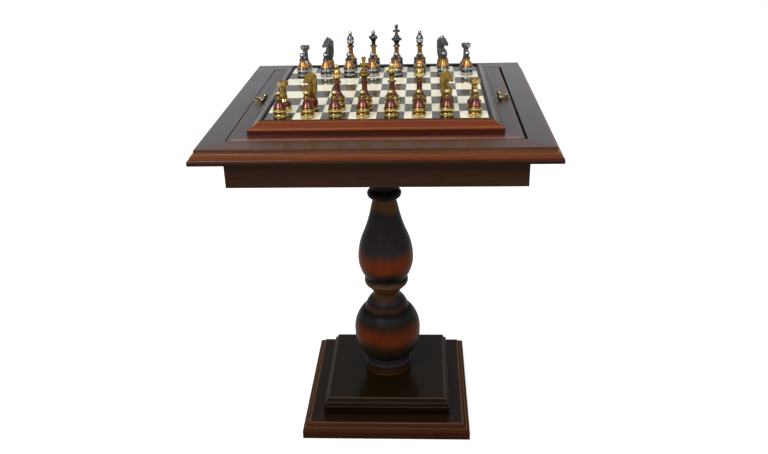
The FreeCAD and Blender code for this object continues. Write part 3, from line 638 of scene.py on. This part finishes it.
def crownRingTree():
    tree = bpy.data.node_groups.new("CrownRing", "GeometryNodeTree")
    face = tree.interface
    for key, value in crownRings["rook"].items():
        kind = "NodeSocketInt" if isinstance(value, int) else "NodeSocketFloat"
        face.new_socket(key, in_out="INPUT", socket_type=kind)
    face.new_socket("Metal", in_out="INPUT", socket_type="NodeSocketMaterial")
    face.new_socket("Geometry", in_out="OUTPUT", socket_type="NodeSocketGeometry")
    size = tree.nodes.new("NodeGroupInput").outputs
    part = addNode(tree, "ShaderNodeMath", {0: 2 * math.pi, 1: size["Count"]}, operation="DIVIDE").outputs[0]
    sweep = addNode(tree, "ShaderNodeMath", {0: part, 1: size["Sweep"]}, operation="MULTIPLY").outputs[0]
    start = addNode(tree, "ShaderNodeMath", {0: sweep, 1: -0.5}, operation="MULTIPLY").outputs[0]
    arc = addNode(tree, "GeometryNodeCurveArc", {"Resolution": crownArcPoints, "Radius": size["Radius"],
                                                 "Start Angle": start, "Sweep Angle": sweep}).outputs["Curve"]
    profile = addNode(tree, "GeometryNodeCurvePrimitiveQuadrilateral",
                      {0: size["Depth"], 1: size["Rise"]}).outputs[0]
    block = addNode(tree, "GeometryNodeCurveToMesh", {"Curve": arc, "Profile Curve": profile,
                                                      "Fill Caps": True}).outputs[0]
    # the top of a block is narrowed by Taper, which makes the queen's points
    at = addNode(tree, "GeometryNodeInputPosition").outputs[0]
    atZ = addNode(tree, "ShaderNodeSeparateXYZ", {0: at}).outputs[2]
    above = addNode(tree, "FunctionNodeCompare", {0: atZ, 1: 0.0}, operation="GREATER_THAN").outputs[0]
    middle = addNode(tree, "ShaderNodeCombineXYZ", {0: size["Radius"]}).outputs[0]
    narrow = addNode(tree, "ShaderNodeCombineXYZ", {0: size["Taper"], 1: size["Taper"], 2: 1.0}).outputs[0]
    narrowed = addNode(tree, "ShaderNodeVectorMath", {0: at, 1: middle}, operation="SUBTRACT").outputs[0]
    narrowed = addNode(tree, "ShaderNodeVectorMath", {0: narrowed, 1: narrow, 2: middle},
                       operation="MULTIPLY_ADD").outputs[0]
    block = addNode(tree, "GeometryNodeSetPosition", {"Geometry": block, "Selection": above,
                                                      "Position": narrowed}).outputs[0]
    places = addNode(tree, "GeometryNodePoints", {"Count": size["Count"]}).outputs[0]
    index = addNode(tree, "GeometryNodeInputIndex").outputs[0]
    turn = addNode(tree, "ShaderNodeMath", {0: index, 1: part}, operation="MULTIPLY").outputs[0]
    turned = addNode(tree, "ShaderNodeCombineXYZ", {2: turn}).outputs[0]
    placed = addNode(tree, "GeometryNodeInstanceOnPoints", {"Points": places, "Instance": block,
                                                            "Rotation": turned}).outputs[0]
    solid = addNode(tree, "GeometryNodeRealizeInstances", {"Geometry": placed}).outputs[0]
    lift = addNode(tree, "ShaderNodeMath", {0: size["Rise"], 1: 0.5, 2: size["Height"]},
                   operation="MULTIPLY_ADD").outputs[0]
    lift = addNode(tree, "ShaderNodeCombineXYZ", {2: lift}).outputs[0]
    solid = addNode(tree, "GeometryNodeTransform", {"Geometry": solid, "Translation": lift}).outputs[0]
    solid = addNode(tree, "GeometryNodeSetMaterial", {"Geometry": solid, "Material": size["Metal"]}).outputs[0]
    addNode(tree, "NodeGroupOutput", {0: solid})
    return tree


crownTree = crownRingTree()


def crownRingMesh(kind, metal):
    holder = bpy.data.objects.new("crownHolder", bpy.data.meshes.new("crownHolder"))
    bpy.context.scene.collection.objects.link(holder)
    ring = holder.modifiers.new("CrownRing", "NODES")
    ring.node_group = crownTree
    values = {**crownRings[kind], "Metal": metal}
    for socket in crownTree.interface.items_tree:
        if socket.name in values:
            ring[socket.identifier] = values[socket.name]
    baked = bpy.data.meshes.new_from_object(holder.evaluated_get(bpy.context.evaluated_depsgraph_get()))
    bpy.data.objects.remove(holder)
    baked.transform(Matrix.Scale(mm, 4))
    for face in baked.polygons:       # the tree puts its metal behind an empty slot; a man's is first
        face.material_index = 0
    return baked


# The horse's head and neck, looking along +X: a rounded slab with a raised mane behind and a cheek.
# A third value marks a corner that stays sharp.
horse = {
    "head": [
        (-8, 24.6), (-11.6, 32), (-12.4, 46), (-12.8, 62, 1), (-9, 66.6), (-4.5, 70.2), (-1.8, 71.6),
        (-0.4, 74, 1), (1.4, 71.2), (6, 65.8), (9.4, 59.6), (11.8, 54.6), (11.8, 51.8), (9.4, 50), (6.4, 51),
        (3.8, 50.4), (3.2, 47.4), (5.2, 43.4), (8.8, 38.4), (9.8, 33), (8.6, 27.6), (7.6, 24.6)],
    "mane": [
        (-9.2, 28), (-12.2, 34), (-13, 47), (-13.2, 62.4, 1), (-8.8, 67.8), (-4.2, 71.2, 1), (-3.6, 67),
        (-7.4, 62.4), (-9.4, 54), (-9.2, 40)],
    "cheek": [(-2, 61), (-3.8, 56.6), (-2.6, 52.2), (0.8, 51), (3.4, 53.2), (3, 57.6), (1, 61)],
    "headThick": 9.6, "maneThick": 6.4, "cheekThick": 11,
    "neckTop": 48, "neckFoot": 25, "neckThick": 1.3,     # the neck thickens this much from top to foot
    "roundness": 1.4, "roundSteps": 3, "curveSteps": 4,
}


def slabInto(work, part, facing):
    outline, ease = horse[part], horse["roundness"] * mm
    curve = bpy.data.curves.new("slab", "CURVE")
    curve.dimensions = "2D"
    curve.fill_mode = "BOTH"
    curve.bevel_depth = ease
    curve.bevel_resolution = horse["roundSteps"]
    curve.offset = -ease
    curve.extrude = horse[part + "Thick"] / 2 * mm - ease
    curve.resolution_u = horse["curveSteps"]
    spline = curve.splines.new("BEZIER")
    spline.bezier_points.add(len(outline) - 1)
    spline.use_cyclic_u = True
    for knot, point in zip(spline.bezier_points, outline):
        knot.co = (point[0] * mm, point[1] * mm, 0)
        knot.handle_left_type = knot.handle_right_type = "VECTOR" if len(point) == 3 else "AUTO"
    holder = bpy.data.objects.new("slab", curve)
    bpy.context.scene.collection.objects.link(holder)
    mesh = bpy.data.meshes.new_from_object(holder.evaluated_get(bpy.context.evaluated_depsgraph_get()))
    bpy.data.objects.remove(holder)
    bpy.data.curves.remove(curve)
    piece = bmesh.new()
    piece.from_mesh(mesh)
    bmesh.ops.remove_doubles(piece, verts=piece.verts, dist=arris["merge"] * mm)
    neck = (horse["neckTop"] - horse["neckFoot"]) * mm
    for vert in piece.verts:      # stand it up, thicken the neck, face it left or right
        x, height, side = vert.co
        share = max(0.0, min(1.0, (horse["neckTop"] * mm - height) / neck))
        thicker = 1 + (horse["neckThick"] - 1) * share
        vert.co = (x * facing, side * thicker * facing, height)
    for face in piece.faces:
        face.smooth = True
    bmesh.ops.recalc_face_normals(piece, faces=piece.faces)
    piece.to_mesh(mesh)
    piece.free()
    work.from_mesh(mesh)


finishes = {"gold": (goldPlate, redEnamel), "silver": (pewterPlate, amberEnamel)}


def chessman(node):
    side, kind = node.split("_")[:2]
    work = bmesh.new()
    tall = kind in ("bishop", "queen", "king")
    foot = [] if kind == "pawn" else men["ring"]
    outline = foot + (men["stem"] if tall else []) + men[kind]["outline"]
    paler = men["paler"].get(side + "_" + kind)
    latheInto(work, outline, men["stemEnamel"] if tall else men[kind]["enamel"], paler or men["level"])
    if kind in crownRings:
        work.from_mesh(crownRingMesh(kind, finishes[side][0]))
    if kind == "knight":
        for part in ("head", "mane", "cheek"):
            slabInto(work, part, facing=-1 if node.endswith("_1") else 1)
    if kind == "king":
        for low, high in men["cross"]:
            boxInto(work, low, high)
    rubbed = work.verts.layers.float["rubbed"]
    for vert in work.verts:       # the flat-sided parts, which the lathe left at nought
        vert[rubbed] = vert[rubbed] or paler or men["slab"][side]
    name = side + "".join(word.capitalize() for word in node.split("_")[1:])
    mesh = bpy.data.meshes.new(name)
    work.to_mesh(mesh)
    work.free()
    low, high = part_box(node)
    mesh.transform(Matrix.Translation(((low.x + high.x) / 2, (low.y + high.y) / 2, low.z)))
    mesh.set_sharp_from_angle(angle=math.radians(men["sharp"]))
    for material in finishes[side]:
        mesh.materials.append(material)
    piece = bpy.data.objects.new(name, mesh)
    bpy.context.scene.collection.objects.link(piece)
    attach(piece, node)
    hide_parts(node)


for node in sorted(nodes):
    if node.split("_")[0] in finishes:
        chessman(node)
print("chessmen made")

# A pale floor, soft light and the camera, in metres and radians.
stageLook = {
    "floorSize": 60.0, "floor": "#bcbcbc", "floorRoughness": 0.9, "floorGlow": 0.7,
    "sky": [(0.1, "#ffffff"), (0.24, "#a9adb4"), (0.66, "#a9adb4"), (0.8, "#ffffff")],     # by its height
    "camera": (0.08137, -1.56079, 1.14066), "yaw": -0.05356, "pitch": -0.42929, "roll": -0.02593,
    "lens": 37.37, "sensor": 36, "near": 0.05, "far": 100,
    # The softboxes are kept out of the gloss, where they would glare on the tops seen from behind;
    # the glint lamps, small and high, show in the gloss alone.
    "lamps": [     # name, place, aim, width, watts, whether it is a glint
        ("KeySoftbox", (-1.3, -2.5, 2.4), (0, 0, 0.6), 1.3, 84, False),
        ("FillSoftbox", (2.0, -2.1, 2.0), (0, 0, 0.6), 1.6, 24, False),
        ("TopSoftbox", (0.1, -0.2, 2.8), (0, 0, 0.7), 1.6, 16, False),
        ("KeyGlint", (-0.9, -1.8, 2.3), (0, 0, 0.7), 0.8, 64, True),
        ("FillGlint", (1.3, -1.5, 2.2), (0, 0, 0.7), 0.7, 18, True)],
}


# Seamless studio paper: matt, and near white wherever it is looked at or mirrored.
def paleFloor():
    made, tree, end = startMaterial("PalePaperFloor")
    looks = addNode(tree, "ShaderNodeLightPath").outputs
    seen = looks["Is Camera Ray"]
    for other in ("Is Glossy Ray", "Is Transmission Ray"):
        seen = addNode(tree, "ShaderNodeMath", {0: seen, 1: looks[other]}, operation="MAXIMUM").outputs[0]
    glow = addNode(tree, "ShaderNodeMath", {0: seen, 1: stageLook["floorGlow"]},
                   operation="MULTIPLY").outputs[0]
    shader = addNode(tree, "ShaderNodeBsdfPrincipled", {
        "Base Color": linear(stageLook["floor"]), "Roughness": stageLook["floorRoughness"],
        "Specular IOR Level": 0.0, "Emission Color": (1, 1, 1, 1), "Emission Strength": glow})
    tree.links.new(shader.outputs[0], end.inputs[0])
    return made


floorMesh = bpy.data.meshes.new("floor")
reach = stageLook["floorSize"] / 2
floorCorners = [(-reach, -reach, 0), (reach, -reach, 0), (reach, reach, 0), (-reach, reach, 0)]
floorMesh.from_pydata(floorCorners, [], [(0, 1, 2, 3)])
floorMesh.materials.append(paleFloor())
floor = bpy.data.objects.new("floor", floorMesh)
bpy.context.scene.collection.objects.link(floor)

world = bpy.data.worlds.new("SoftStudio")
bpy.context.scene.world = world
world.use_nodes = True
sky = world.node_tree
sky.nodes.clear()
upward = addNode(sky, "ShaderNodeTexCoord").outputs["Generated"]
upward = addNode(sky, "ShaderNodeSeparateXYZ", {0: upward}).outputs[2]
skyColour = addNode(sky, "ShaderNodeValToRGB", {0: upward}, stops=[
    (mark, linear(colour)) for mark, colour in stageLook["sky"]]).outputs[0]
backdrop = addNode(sky, "ShaderNodeBackground", {0: skyColour, 1: 1.0}).outputs[0]
addNode(sky, "ShaderNodeOutputWorld", {0: backdrop})

for name, place, aim, width, watts, glint in stageLook["lamps"]:
    lamp = bpy.data.lights.new(name, "AREA")
    lamp.size = width
    lamp.energy = watts
    holder = bpy.data.objects.new(name, lamp)
    holder.location = place
    holder.visible_glossy = glint
    holder.visible_diffuse = not glint
    holder.rotation_euler = (Vector(aim) - Vector(place)).to_track_quat("-Z", "Y").to_euler()
    bpy.context.scene.collection.objects.link(holder)

yaw, pitch, roll = stageLook["yaw"], stageLook["pitch"], stageLook["roll"]
ahead = Vector((math.sin(yaw) * math.cos(pitch), math.cos(yaw) * math.cos(pitch), math.sin(pitch)))
level = Vector((math.cos(yaw), -math.sin(yaw), 0))
upright = level.cross(ahead)
right = level * math.cos(roll) + upright * math.sin(roll)
above = upright * math.cos(roll) - level * math.sin(roll)
lens = bpy.data.cameras.new("camera")
lens.sensor_width = stageLook["sensor"]
lens.lens = stageLook["lens"]
lens.clip_start, lens.clip_end = stageLook["near"], stageLook["far"]
camera = bpy.data.objects.new("camera", lens)
facing = Matrix((right, above, -ahead)).transposed().to_4x4()
camera.matrix_world = Matrix.Translation(stageLook["camera"]) @ facing
bpy.context.scene.collection.objects.link(camera)
bpy.context.scene.camera = camera
bpy.context.scene.view_settings.view_transform = "Standard"
print("stage set")
